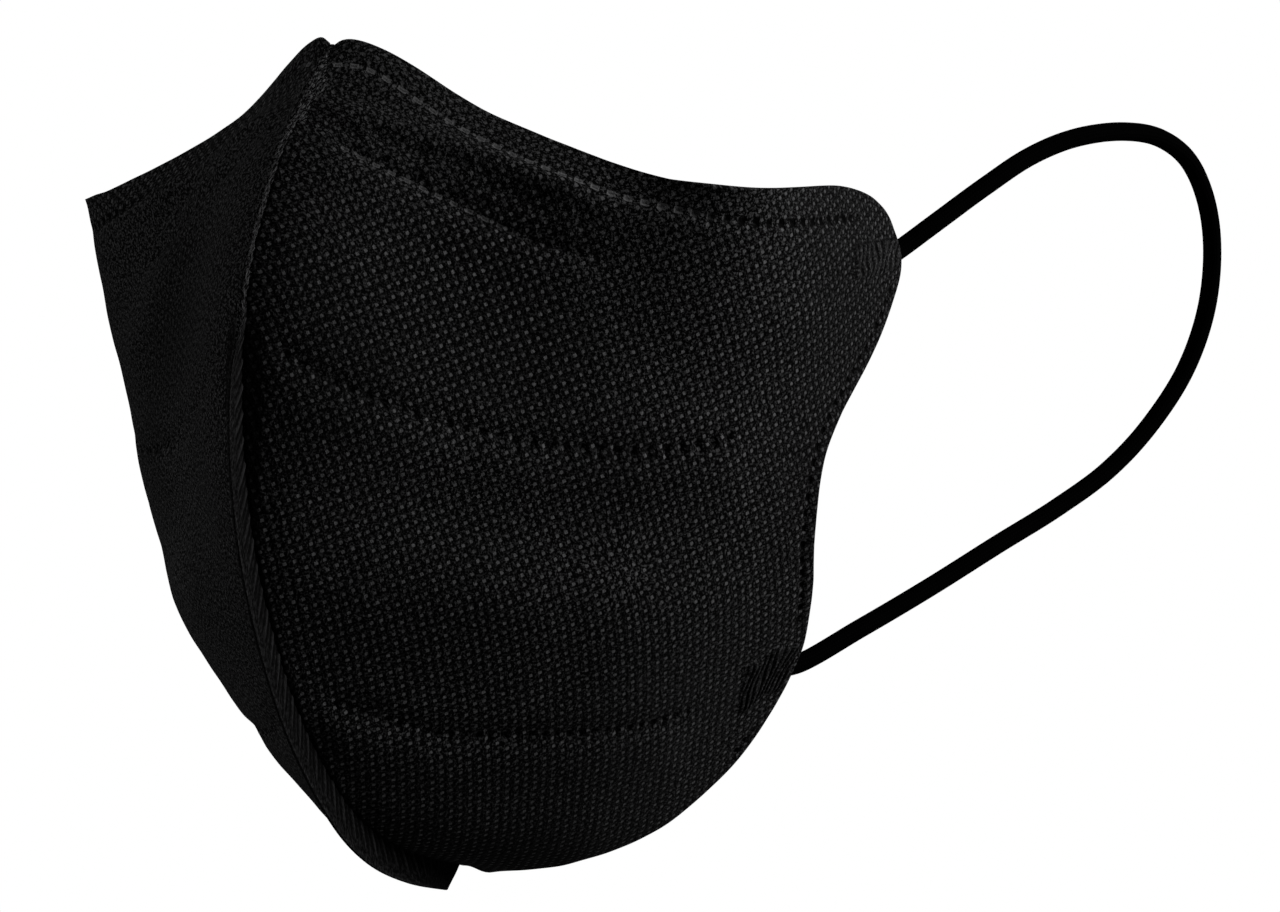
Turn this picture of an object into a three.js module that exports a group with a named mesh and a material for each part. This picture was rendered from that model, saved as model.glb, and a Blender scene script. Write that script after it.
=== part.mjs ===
// A vertical-fold respirator mask of black nonwoven cloth. Two mirrored panels meet in a
// curved seam from the nose to the chin, welded into a ribbed fin that stands proud. An
// elastic ear loop is welded to the inner face of each panel at two points of its ear edge.
//
// Frame: millimetres, +Z up, the mask faces -Y, its wearer's left is +X, and the origin is
// the top of the nose seam, where the mask sits on the nose bridge.
import * as THREE from 'three';

// ---- Driving dimensions, millimetres and degrees
const CLOTH = 1.2;              // the layered cloth of a panel
const GAP = 0.3;                // clearance between neighbouring pieces
const FIN_THICKNESS = 1.0;      // both panels' seam allowances welded into one fin
const FIN_ROOT = 1.5;           // how far the fin reaches in between the panels' seam edges
const RIB_PITCH = 1.9;          // weld ribs along the fin
const RIB_DEPTH = 0.2;          // how far the fin thins, on each face, between two ribs
const RIB_LEAD = 4.0;           // how far a rib's tip runs ahead of its root, towards the chin
const TAIL = 24;                // the stretch at the chin over which the ribs' tips fall back
const TAIL_CUT = 5;             // how far the last tip lies behind the last root
const CORD_DIAMETER = 3.3;      // round elastic of the ear loops
const CORD_SIDES = 8;
const CORD_STEPS = 56;
const PATCH_THICKNESS = 0.6;    // a loop weld's ribbed patch on the panel's outer face
const PATCH_GROOVE = 0.3;       // how far the patch thins between two of its ribs
const PATCH_ROWS = 2;
const SEAM_X = FIN_THICKNESS / 2 + GAP;
const PANEL_COLUMNS = 18;
const COLUMN_CROWDING = 1.35;   // over 1, columns crowd towards the seam

// ---- Finishes
const cloth = new THREE.MeshStandardMaterial({ color: 0x111214, roughness: 0.75, metalness: 0 });
const weld = new THREE.MeshStandardMaterial({ color: 0x0c0d0e, roughness: 0.55, metalness: 0 });
const elastic = new THREE.MeshStandardMaterial({ color: 0x060606, roughness: 0.95, metalness: 0 });

// ---- Tables. A table is a list of rows, each an object keyed by the column names.
const table = (columns, rows) =>
  rows.map((row) => Object.fromEntries(columns.map((name, i) => [name, row[i]])));

// Cross sections of the left panel, from the nose down to the chin. A section leaves the seam
// at leaveAngle from the side axis, falling leaveDrop over leaveReach, and meets the ear edge
// at meetAngle in the same way. finWidth is how far the fin stands out of the seam there, and
// strips is how many rows of facets lie between this section and the next.
const SECTIONS = table(
  ['seamY', 'seamZ', 'leaveAngle', 'leaveReach', 'leaveDrop',
    'edgeX', 'edgeY', 'edgeZ', 'meetAngle', 'meetReach', 'meetDrop', 'finWidth', 'strips'],
  [
    [0, 0, 31, 61.5, 28, 66.8, 61, -21.9, 87, 53, -2.6, -0.3, 3],
    [-6.2, -4.5, 30.5, 63.5, 28, 66.9, 72.4, -24, 91, 56, -4.6, -0.1, 3],
    [-12.4, -10.5, 33, 69.5, 24, 66.8, 80.5, -28.4, 93, 57.5, -4.2, 0, 4],
    [-21.8, -20, 43, 75, 23, 66.7, 84.2, -36, 93, 62, -2.8, 0, 5],
    [-32, -38, 52, 80, 15.5, 65.6, 76.5, -48, 91, 52, 0, 0.5, 6],
    [-34.2, -58, 52, 65.5, 9.5, 63, 61.5, -66, 78, 34, 0.8, 3.7, 4],
    [-31.8, -76, 53.5, 60.5, 4, 60.8, 61, -80, 74, 30.5, 0.8, 4.5, 4],
    [-25.4, -92, 47.5, 65.5, 1, 56.8, 68.5, -92, 77, 34, 0, 4.7, 4],
    [-14.4, -108.4, 49, 59, 1, 50.8, 76.5, -103.5, 75, 34, -2, 4.8, 5],
    [0.6, -122, 52, 43, 1, 40.3, 78.5, -118.3, 73, 28, -4, 5, 3],
    [14, -129.5, 49, 28, 1, 27.6, 71.3, -131.3, 68, 21, -3, 5.1, 3],
    [30, -134, 45, 14, 1, 15, 62.5, -137.2, 60, 12, -1, 4.9, 2],
    [50, -137, 30, 2, 0, 4, 53.5, -138.3, 40, 2, 0, 4.4, 0],
  ],
);
const CHIN = SECTIONS.length - 1;

// Folds that cross a panel. `along` lists where the fold runs, as [share of the way from seam
// to ear edge, section]. height raises the cloth (or sinks it, below 0) within halfWidth of
// that line, and lipHeight raises it at lipAt on the chin side of the line.
const FOLDS = [
  {
    name: 'nose wire', height: 1.1, halfWidth: 3, lipHeight: 0, lipAt: 4,
    along: [[0, 2.02], [0.08, 1.8], [0.2, 1.86], [0.34, 2.1]],
  },
  {
    name: 'wire pocket weld', height: -0.7, halfWidth: 2, lipHeight: 0.3, lipAt: 4,
    along: [[0.02, 2.5], [0.12, 2.77], [0.23, 3], [0.36, 3]],
  },
  {
    name: 'middle weld', height: -0.9, halfWidth: 2.5, lipHeight: 0.5, lipAt: 5,
    along: [[0, 4.53], [0.12, 4.84], [0.25, 5.02], [0.4, 5.09], [0.58, 5.05], [0.76, 4.87]],
  },
  {
    name: 'lower weld', height: -1, halfWidth: 3, lipHeight: 0.6, lipAt: 6,
    along: [[0, 7.9], [0.15, 8.3], [0.46, 8.42], [0.78, 8.28]],
  },
];
const SEAM_FADE = 0.04;         // the share of the panel's width over which folds start at the seam
const NOSE_HUMP = { height: 2.8, rise: 4, flat: 7, end: 30, lastSection: 2 };

// Where each ear loop is welded on: shares of the way from seam to ear edge, and sections.
// lean is how far the patch's inner side moves towards the ear on its chin side.
const LOOP_WELDS = [
  { name: 'loop_weld_upper', fromU: 0.862, toU: 0.98, lean: 0, fromV: 2.25, toV: 3.15, ribs: 10 },
  { name: 'loop_weld_lower', fromU: 0.81, toU: 0.97, lean: 0.055, fromV: 7.7, toV: 8.4, ribs: 10 },
];

// The left ear loop's centre line, from its upper weld round behind the ear to its lower weld.
const LOOP_ROUTE = [
  [63.2, 69, -38], [63.2, 76, -36.6], [63.2, 82.4, -34.9], [64.7, 88.7, -32.3],
  [69, 97.1, -26.9], [73.6, 106.6, -21], [78.2, 116.6, -15.5], [82.6, 127.1, -12],
  [87.3, 139.5, -10.5], [90.6, 148.8, -11.4], [92.9, 157.1, -15.1], [94, 163.3, -22],
  [93.9, 166.9, -30.7], [92.4, 167.9, -41.4], [89.4, 165.4, -52], [84.9, 158.6, -62.2],
  [80.3, 150, -70], [74.9, 138.6, -76.6], [69, 125.1, -82.9], [62.2, 109.5, -90.3],
  [55.4, 94.1, -97.2], [49.2, 80.2, -102.9], [46.9, 76, -102.3], [45.3, 71, -102.5],
  [43.7, 65, -103],
];

// ---- Small maths
const { degToRad, smoothstep } = THREE.MathUtils;
const lerp = THREE.MathUtils.lerp;

// The value of a column at any place v along the sections, on a smooth curve through the rows.
function section(column, v) {
  const at = Math.min(Math.floor(v), CHIN - 1);
  const t = v - at;
  const b = SECTIONS[at][column];
  const c = SECTIONS[at + 1][column];
  const a = at > 0 ? SECTIONS[at - 1][column] : 2 * b - c;
  const d = at + 2 <= CHIN ? SECTIONS[at + 2][column] : 2 * c - b;
  const bend = 2 * a - 5 * b + 4 * c - d;
  const twist = 3 * b - a - 3 * c + d;
  return 0.5 * (2 * b + (c - a) * t + bend * t * t + twist * t * t * t);
}

// The second value of [first, second] pairs, read smoothly at a first value.
function readAlong(pairs, x) {
  const last = pairs.length - 1;
  let i = 0;
  while (i < last - 1 && x > pairs[i + 1][0]) i += 1;
  const [x0, y0] = pairs[i];
  const [x1, y1] = pairs[i + 1];
  return lerp(y0, y1, smoothstep(x, x0, x1));
}

// ---- The panel's surface. u runs from the seam (0) to the ear edge (1), v along the sections.
function smoothSurface(u, v) {
  const leave = degToRad(section('leaveAngle', v));
  const meet = degToRad(section('meetAngle', v));
  const leaveReach = section('leaveReach', v);
  const meetReach = section('meetReach', v);
  const seam = new THREE.Vector3(SEAM_X, section('seamY', v), section('seamZ', v));
  const edge = new THREE.Vector3(section('edgeX', v), section('edgeY', v), section('edgeZ', v));
  const out = new THREE.Vector3(
    Math.cos(leave) * leaveReach, Math.sin(leave) * leaveReach, -section('leaveDrop', v));
  const back = new THREE.Vector3(
    Math.cos(meet) * meetReach, Math.sin(meet) * meetReach, -section('meetDrop', v));
  const curve = new THREE.CubicBezierCurve3(
    seam, seam.clone().add(out), edge.clone().sub(back), edge);
  return curve.getPoint(u);
}

const STEP = 0.002;   // a short way along u or v, for slopes

function slope(u, v, du, dv) {
  const u0 = Math.max(u - du, 0);
  const u1 = Math.min(u + du, 1);
  const v0 = Math.max(v - dv, 0);
  const v1 = Math.min(v + dv, CHIN);
  const span = smoothSurface(u1, v1).sub(smoothSurface(u0, v0));
  return span.divideScalar(du ? u1 - u0 : v1 - v0);
}

// The unit normal, pointing out of the mask's front.
function normal(u, v) {
  return slope(u, v, STEP, 0).cross(slope(u, v, 0, STEP)).normalize().negate();
}

// How far the folds raise the cloth at a place.
function relief(u, v) {
  const perSection = slope(u, v, 0, STEP).length();
  let height = 0;
  for (const fold of FOLDS) {
    const last = fold.along[fold.along.length - 1][0];
    const fade = 1 - smoothstep(u, last - 0.08, last + 0.04);
    const below = (v - readAlong(fold.along, u)) * perSection;
    height += fade * fold.height * Math.exp(-((below / fold.halfWidth) ** 2));
    height += fade * fold.lipHeight * Math.exp(-(((below - fold.lipAt) / fold.lipAt) ** 2));
  }
  return height * smoothstep(u, 0, SEAM_FADE);
}

// The nose hump lifts the cloth on each side of the seam, which leaves a notch at the seam.
function hump(u, v) {
  const way = smoothSurface(u, v).distanceTo(smoothSurface(0, v));
  const side = smoothstep(way, 0, NOSE_HUMP.rise) * (1 - smoothstep(way, NOSE_HUMP.flat, NOSE_HUMP.end));
  return NOSE_HUMP.height * side * (1 - smoothstep(v, 0, NOSE_HUMP.lastSection));
}

function clothSurface(u, v) {
  const point = smoothSurface(u, v).addScaledVector(normal(u, v), relief(u, v));
  point.z += hump(u, v);
  return point;
}

// The inner face, one cloth thickness in. At the seam it is mitred to the panel's seam edge.
function innerSurface(u, v) {
  const point = clothSurface(u, v).addScaledVector(normal(u, v), -CLOTH);
  const across = slope(u, v, STEP, 0);
  if (point.x < SEAM_X) point.addScaledVector(across, (SEAM_X - point.x) / across.x);
  return point;
}

// ---- Solids
function solid(points, triangles) {
  const geometry = new THREE.BufferGeometry();
  const flat = points.flatMap((p) => [p.x, p.y, p.z]);
  geometry.setAttribute('position', new THREE.Float32BufferAttribute(flat, 3));
  geometry.setIndex(triangles.flat());
  geometry.computeVertexNormals();
  return geometry;
}

// A closed wall between two grids of points with as many rows and columns as each other.
function wallBetween(outer, inner) {
  const rows = outer.length;
  const columns = outer[0].length;
  const front = (r, c) => r * columns + c;
  const rear = (r, c) => rows * columns + r * columns + c;
  const triangles = [];
  const quad = (a, b, c, d) => triangles.push([a, b, c], [a, c, d]);
  for (let r = 0; r + 1 < rows; r += 1) {
    for (let c = 0; c + 1 < columns; c += 1) {
      quad(front(r, c), front(r + 1, c), front(r + 1, c + 1), front(r, c + 1));
      quad(rear(r, c), rear(r, c + 1), rear(r + 1, c + 1), rear(r + 1, c));
    }
    const ear = columns - 1;
    quad(front(r, 0), rear(r, 0), rear(r + 1, 0), front(r + 1, 0));
    quad(front(r, ear), front(r + 1, ear), rear(r + 1, ear), rear(r, ear));
  }
  for (let c = 0; c + 1 < columns; c += 1) {
    const chin = rows - 1;
    quad(front(0, c), front(0, c + 1), rear(0, c + 1), rear(0, c));
    quad(front(chin, c), rear(chin, c), rear(chin, c + 1), front(chin, c + 1));
  }
  return solid([...outer.flat(), ...inner.flat()], triangles);
}

// A closed bar through four-cornered sections.
function barThrough(sections) {
  const corners = 4;
  const triangles = [];
  const quad = (a, b, c, d) => triangles.push([a, b, c], [a, c, d]);
  for (let s = 0; s + 1 < sections.length; s += 1) {
    for (let k = 0; k < corners; k += 1) {
      const next = (k + 1) % corners;
      const here = s * corners;
      const there = here + corners;
      quad(here + k, here + next, there + next, there + k);
    }
  }
  const end = (sections.length - 1) * corners;
  quad(3, 2, 1, 0);
  quad(end, end + 1, end + 2, end + 3);
  return solid(sections.flat(), triangles);
}

// The same solid on the mask's other side, with its faces turned to point out again.
function mirrored(geometry) {
  const twin = geometry.clone().applyMatrix4(new THREE.Matrix4().makeScale(-1, 1, 1));
  if (!twin.index) twin.setIndex([...Array(twin.attributes.position.count).keys()]);
  const index = twin.index.array;
  for (let i = 0; i < index.length; i += 3) {
    [index[i], index[i + 1]] = [index[i + 1], index[i]];
  }
  twin.computeVertexNormals();
  return twin;
}

// A panel: the cloth wall between its outer and inner faces.
function panel() {
  const places = [];
  SECTIONS.forEach(({ strips }, at) => {
    for (let k = 0; k < strips; k += 1) places.push(at + k / strips);
  });
  places.push(CHIN);
  const shares = [];
  for (let c = 0; c <= PANEL_COLUMNS; c += 1) {
    shares.push((c / PANEL_COLUMNS) ** COLUMN_CROWDING);
  }
  const face = (surface) => places.map((v) => shares.map((u) => surface(u, v)));
  return wallBetween(face(clothSurface), face(innerSurface));
}

// The welded fin: a ribbed strip in the mid-plane that fills the seam and stands out of it.
// Its ribs slant, and its tail is cut back, so each section's tip is led along the seam.
function fin() {
  const curve = new THREE.CatmullRomCurve3(
    SECTIONS.map(({ seamY, seamZ, finWidth }) => new THREE.Vector3(finWidth, seamY, seamZ)));
  const length = curve.getLength();
  const count = Math.round(length / RIB_PITCH) * 2;
  const place = (along, outward) => {
    const share = THREE.MathUtils.clamp(along / length, 0, 1);
    const { x: width, y, z } = curve.getPointAt(share);
    const way = curve.getTangentAt(share);
    const out = new THREE.Vector3(0, way.z, -way.y).normalize();
    return new THREE.Vector3(0, y, z).addScaledVector(out, outward(width));
  };
  const sections = [];
  for (let i = 0; i <= count; i += 1) {
    const along = (length * i) / count;
    const start = smoothstep(along, 0, RIB_LEAD * 3);
    const tail = smoothstep(along, length - TAIL, length);
    const lead = RIB_LEAD * start * (1 - tail) - TAIL_CUT * tail;
    const half = FIN_THICKNESS / 2 - (i % 2) * RIB_DEPTH;
    const root = place(along, () => -FIN_ROOT);
    const tip = place(along + lead, (width) => width);
    const side = new THREE.Vector3(half, 0, 0);
    sections.push([
      root.clone().sub(side), root.clone().add(side), tip.clone().add(side), tip.clone().sub(side),
    ]);
  }
  return barThrough(sections);
}

// A loop weld: a ribbed patch pressed onto the panel's outer face over the elastic's end.
function loopWeld({ fromU, toU, lean, fromV, toV, ribs }) {
  const columns = ribs * 2;
  const face = (lift) => {
    const rows = [];
    for (let r = 0; r <= PATCH_ROWS; r += 1) {
      const row = [];
      for (let c = 0; c <= columns; c += 1) {
        const down = r / PATCH_ROWS;
        const u = lerp(fromU + lean * down, toU, c / columns);
        const v = lerp(fromV, toV, down);
        row.push(clothSurface(u, v).addScaledVector(normal(u, v), lift(c)));
      }
      rows.push(row);
    }
    return rows;
  };
  const top = (c) => GAP + PATCH_THICKNESS - (c % 2 ? 0 : PATCH_GROOVE);
  return wallBetween(face(top), face(() => GAP));
}

// An ear loop: round elastic along its route.
function earLoop() {
  const path = new THREE.CatmullRomCurve3(LOOP_ROUTE.map((p) => new THREE.Vector3(...p)));
  const around = [];
  for (let k = 0; k < CORD_SIDES; k += 1) {
    const turn = (k / CORD_SIDES) * 2 * Math.PI;
    around.push(new THREE.Vector2(Math.cos(turn), Math.sin(turn)).multiplyScalar(CORD_DIAMETER / 2));
  }
  return new THREE.ExtrudeGeometry(new THREE.Shape(around), {
    steps: CORD_STEPS, bevelEnabled: false, extrudePath: path,
  });
}

// ---- Assembly
const mask = new THREE.Group();

function add(name, geometry, material) {
  const mesh = new THREE.Mesh(geometry, material);
  mesh.name = name;
  mask.add(mesh);
}

function addPair(name, geometry, material) {
  add(`${name}_left`, geometry, material);
  add(`${name}_right`, mirrored(geometry), material);
}

addPair('panel', panel(), cloth);
add('seam_fin', fin(), weld);
for (const place of LOOP_WELDS) addPair(place.name, loopWeld(place), weld);
addPair('ear_loop', earLoop(), elastic);

export default mask;
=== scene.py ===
# A vertical-fold respirator mask of black spunbond cloth, held as a face holds it: two
# mirrored panels welded in a ribbed seam, and an elastic ear loop welded behind each ear
# edge. Sizes are in millimetres until a mesh is made; the frame itself is in metres.
import bpy
import math

import numpy as np
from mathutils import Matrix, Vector, noise


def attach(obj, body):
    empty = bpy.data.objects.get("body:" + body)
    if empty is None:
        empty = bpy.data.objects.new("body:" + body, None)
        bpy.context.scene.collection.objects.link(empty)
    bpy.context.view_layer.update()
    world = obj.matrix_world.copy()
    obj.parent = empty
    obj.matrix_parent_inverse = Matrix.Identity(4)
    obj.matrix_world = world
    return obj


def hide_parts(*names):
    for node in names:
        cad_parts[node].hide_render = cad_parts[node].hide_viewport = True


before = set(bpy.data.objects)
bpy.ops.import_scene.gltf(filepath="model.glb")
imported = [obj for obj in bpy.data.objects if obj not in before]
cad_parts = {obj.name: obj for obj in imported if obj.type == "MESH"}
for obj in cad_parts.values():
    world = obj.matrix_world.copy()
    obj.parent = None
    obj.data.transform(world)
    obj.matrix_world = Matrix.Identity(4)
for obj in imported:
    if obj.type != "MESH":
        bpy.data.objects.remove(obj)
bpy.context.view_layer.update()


# ---- The view: a long lens, level with the middle of the mask and a little to its left.
MM = 0.001
VIEW_TURN = math.radians(23.5)
VIEW_DISTANCE = 1300
VIEW_RIGHT = 50.5        # the lens points this far right of the nose,
VIEW_UP = -67.5          # and this far above it
VIEW_LENS = 223

right = Vector((math.cos(VIEW_TURN), math.sin(VIEW_TURN), 0))
ahead = Vector((-math.sin(VIEW_TURN), math.cos(VIEW_TURN), 0))
camera_data = bpy.data.cameras.new("view")
camera_data.lens = VIEW_LENS
camera_data.sensor_width = 36
camera = bpy.data.objects.new("view", camera_data)
camera.location = (right * VIEW_RIGHT + Vector((0, 0, VIEW_UP)) - ahead * VIEW_DISTANCE) * MM
camera.rotation_euler = (math.pi / 2, 0, VIEW_TURN)
bpy.context.collection.objects.link(camera)
bpy.context.scene.camera = camera


# ---- Ear loops: round knitted elastic, 3.3 mm thick. Each end is pressed flat against the
# panel's inner face, where it is welded, and the loop bows back in the plane of the ear.
ELASTIC_RADIUS = 1.65
ELASTIC_SIDES = 32
ELASTIC_STEP = 0.8
END_FLAT = 12            # the stretch at each end over which the elastic is pressed flat
END_HALF_THICK = 0.9
END_HALF_WIDE = 2.6
ELASTIC_BLACK = (0.0002, 0.0002, 0.0002, 1)
ELASTIC_GREY = (0.0007, 0.0007, 0.0007, 1)
WALES = 16               # columns of stitches round the elastic
COURSE = 0.62            # the height of one stitch along it
STITCH_LEAN = 0.7        # how far its arms run along the elastic
STITCH_BUMP = 0.00015
FUZZ_HEIGHT = 0.5        # how high the yarn's fuzz stands, and how far it greys the stitches
FUZZ_GREY = 0.6

# The left loop's centre line, from the upper weld round behind the ear to the lower weld.
LOOP_ROUTE = [
    (63.2, 69, -38), (63.2, 76, -36.6), (63.2, 82.4, -34.9), (64.7, 88.7, -32.3),
    (69, 97.1, -26.9), (73.6, 106.6, -21), (78.2, 116.6, -15.5), (82.6, 127.1, -12),
    (87.3, 139.5, -10.5), (90.6, 148.8, -11.4), (92.9, 157.1, -15.1), (94, 163.3, -22),
    (93.9, 166.9, -30.7), (92.4, 167.9, -41.4), (89.4, 165.4, -52), (84.9, 158.6, -62.2),
    (80.3, 150, -70), (74.9, 138.6, -76.6), (69, 125.1, -82.9), (62.2, 109.5, -90.3),
    (55.4, 94.1, -97.2), (49.2, 80.2, -103.1), (46.9, 75.6, -103.5), (45.3, 70.8, -103.6),
    (43.7, 65, -103.6),
]


def smoothstep(x, low, high):
    t = np.clip((x - low) / (high - low), 0, 1)
    return t * t * (3 - 2 * t)


def unit(vectors):
    return vectors / np.linalg.norm(vectors, axis=-1, keepdims=True)


def lengths_along(line):
    steps = np.linalg.norm(np.diff(line, axis=0), axis=1)
    return np.concatenate([[0], np.cumsum(steps)])


def evenly_spaced(line, step):
    along = lengths_along(line)
    at = np.linspace(0, along[-1], int(round(along[-1] / step)) + 1)
    return np.stack([np.interp(at, along, axis) for axis in line.T], axis=1)


def smooth_line(places, per_span=24):
    """Points on a smooth curve through the places, which may be unevenly spaced."""
    places = np.array(places, float)
    ends = 2 * places[[0, -1]] - places[[1, -2]]
    p = np.concatenate([ends[:1], places, ends[1:]])
    knots = np.concatenate([[0], np.cumsum(np.sqrt(np.linalg.norm(np.diff(p, axis=0), axis=1)))])
    found = []
    for i in range(1, len(p) - 2):
        t = np.linspace(knots[i], knots[i + 1], per_span, endpoint=False)[:, None]
        k0, k1, k2, k3 = knots[i - 1:i + 3]
        a = p[i - 1] + (p[i] - p[i - 1]) * (t - k0) / (k1 - k0)
        b = p[i] + (p[i + 1] - p[i]) * (t - k1) / (k2 - k1)
        c = p[i + 1] + (p[i + 2] - p[i + 1]) * (t - k2) / (k3 - k2)
        d = a + (b - a) * (t - k0) / (k2 - k0)
        e = b + (c - b) * (t - k1) / (k3 - k1)
        found.append(d + (e - d) * (t - k1) / (k2 - k1))
    return np.concatenate([*found, places[-1:]])


def new_piece(name, points, faces, side=1):
    """A mesh object of millimetre points. side -1 puts it on the mask's other side."""
    if side < 0:
        points = points * np.array([-1, 1, 1])
        faces = [face[::-1] for face in faces]
    mesh = bpy.data.meshes.new(name)
    mesh.from_pydata((points * MM).tolist(), [], faces)
    mesh.polygons.foreach_set("use_smooth", [True] * len(mesh.polygons))
    piece = bpy.data.objects.new(name, mesh)
    bpy.context.collection.objects.link(piece)
    return piece


def set_uv(piece, places):
    """Gives every vertex one place on the piece's own map, in millimetres."""
    layer = piece.data.uv_layers.new(name="millimetres")
    at = np.zeros(len(piece.data.loops), int)
    piece.data.loops.foreach_get("vertex_index", at)
    layer.data.foreach_set("uv", places[at].astype(np.float32).ravel())


class Wire:
    """The output of a material's node. Arithmetic on wires adds Math nodes."""

    def __init__(self, tree, socket=None):
        self.tree = tree
        self.socket = socket

    def node(self, kind, settings=None, values=None, output=0):
        """Adds a node: its type, its settings, the values or wires of its inputs, its output."""
        made = self.tree.nodes.new("ShaderNode" + kind)
        for name, value in (settings or {}).items():
            setattr(made, name, value)
        for name, value in (values or {}).items():
            if isinstance(value, Wire):
                self.tree.links.new(value.socket, made.inputs[name])
            else:
                made.inputs[name].default_value = value
        return Wire(self.tree, made.outputs[output]) if made.outputs else Wire(self.tree)

    def maths(self, operation, *others):
        return self.node("Math", {"operation": operation}, dict(enumerate([self, *others])))

    def __add__(self, other):
        return self.maths("ADD", other)

    def __sub__(self, other):
        return self.maths("SUBTRACT", other)

    def __rsub__(self, other):
        return self.node("Math", {"operation": "SUBTRACT"}, {0: other, 1: self})

    def __mul__(self, other):
        return self.maths("MULTIPLY", other)

    def __truediv__(self, other):
        return self.maths("DIVIDE", other)

    __radd__ = __add__
    __rmul__ = __mul__


def rises(value, low, high):
    """0 where the wire is below low, 1 above high, and a smooth rise between them."""
    return value.node("MapRange", {"interpolation_type": "SMOOTHSTEP"},
                      {"Value": value, "From Min": low, "From Max": high})


def blend(share, first, second):
    """The first colour where share is 0, the second where it is 1."""
    return share.node("Mix", {"data_type": "RGBA"}, {0: share, 6: first, 7: second}, 2)


def also(wire, output):
    """Another output of the node that the wire comes from."""
    return Wire(wire.tree, wire.socket.node.outputs[output])


def new_finish(name):
    finish = bpy.data.materials.new(name)
    finish.use_nodes = True
    finish.node_tree.nodes.clear()
    return finish, Wire(finish.node_tree)


def set_shader(wire, values):
    shader = wire.node("BsdfPrincipled", {}, values)
    wire.node("OutputMaterial", {}, {"Surface": shader})


def elastic_finish():
    finish, start = new_finish("knitted elastic")
    place = start.node("UVMap", {"uv_map": "millimetres"})
    split = place.node("SeparateXYZ", {}, {0: place})
    around = split * (WALES / (2 * math.pi * ELASTIC_RADIUS))
    along = also(split, 1) / COURSE
    across = (around.maths("FRACT") - 0.5).maths("ABSOLUTE") * 2
    stitch = (along + across * STITCH_LEAN).maths("FRACT")
    arch = (stitch * math.pi).maths("SINE")
    loft = (1 - across * across) * arch
    fuzz = start.node("TexNoise", {}, {"Vector": place, "Scale": 3.0, "Detail": 4.0})
    bump = start.node("Bump", {}, {
        "Strength": 0.6, "Distance": STITCH_BUMP, "Height": loft + fuzz * FUZZ_HEIGHT})
    lit = rises(loft + fuzz * FUZZ_GREY, 0.5, 1.3)
    set_shader(start, {
        "Base Color": blend(lit, ELASTIC_BLACK, ELASTIC_GREY),
        "Roughness": 0.9, "Specular IOR Level": 0.003, "Normal": bump})
    return finish


def ring_faces(rings, sides):
    """Faces of a closed body made of one ring of points after another."""
    faces = []
    for i in range(rings - 1):
        for k in range(sides):
            j = (k + 1) % sides
            here, there = i * sides, (i + 1) * sides
            faces.append((here + k, here + j, there + j, there + k))
    faces.append(tuple(range(sides))[::-1])
    faces.append(tuple(range((rings - 1) * sides, rings * sides)))
    return faces


def elastic_tube(line):
    """The points, faces and map of a tube along the line, pressed flat at both ends."""
    way = unit(np.gradient(line, axis=0))
    sideways = np.array([1.0, 0, 0])
    thick_way = unit(sideways - (way @ sideways)[:, None] * way)
    wide_way = np.cross(way, thick_way)
    along = lengths_along(line)
    from_end = np.minimum(along, along[-1] - along)
    flat = 1 - smoothstep(from_end, 0, END_FLAT)
    half_thick = ELASTIC_RADIUS + (END_HALF_THICK - ELASTIC_RADIUS) * flat
    half_wide = ELASTIC_RADIUS + (END_HALF_WIDE - ELASTIC_RADIUS) * flat
    turn = np.linspace(0, 2 * math.pi, ELASTIC_SIDES, endpoint=False)
    ring = (thick_way[:, None] * (half_thick[:, None] * np.cos(turn))[..., None]
            + wide_way[:, None] * (half_wide[:, None] * np.sin(turn))[..., None])
    points = (line[:, None] + ring).reshape(-1, 3)
    places = np.stack(np.broadcast_arrays(turn * ELASTIC_RADIUS, along[:, None]), axis=-1)
    return points, ring_faces(len(line), ELASTIC_SIDES), places.reshape(-1, 2)


knitted_elastic = elastic_finish()
loop_line = evenly_spaced(smooth_line(LOOP_ROUTE), ELASTIC_STEP)
tube_points, tube_faces, tube_places = elastic_tube(loop_line)
for name, side in (("left", 1), ("right", -1)):
    loop = new_piece(f"{name}_ear_elastic", tube_points, tube_faces, side)
    set_uv(loop, tube_places)
    loop.data.materials.append(knitted_elastic)
    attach(loop, "root")
    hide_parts(f"ear_loop_{name}")


# ---- Cloth panels: each is one cut of layered spunbond, 1.2 mm thick, bonded in a lattice of
# small squares. Lines of hot-pressed dashes hold its layers and the nose wire's pocket.
CLOTH = 1.2
GAP_TO_SEAM = 0.55       # how far the seam edge stands from the mask's middle plane
PANEL_COLUMNS = 208
CLOSER = 0.28            # how much closer together the mesh's columns are near both edges

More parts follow.
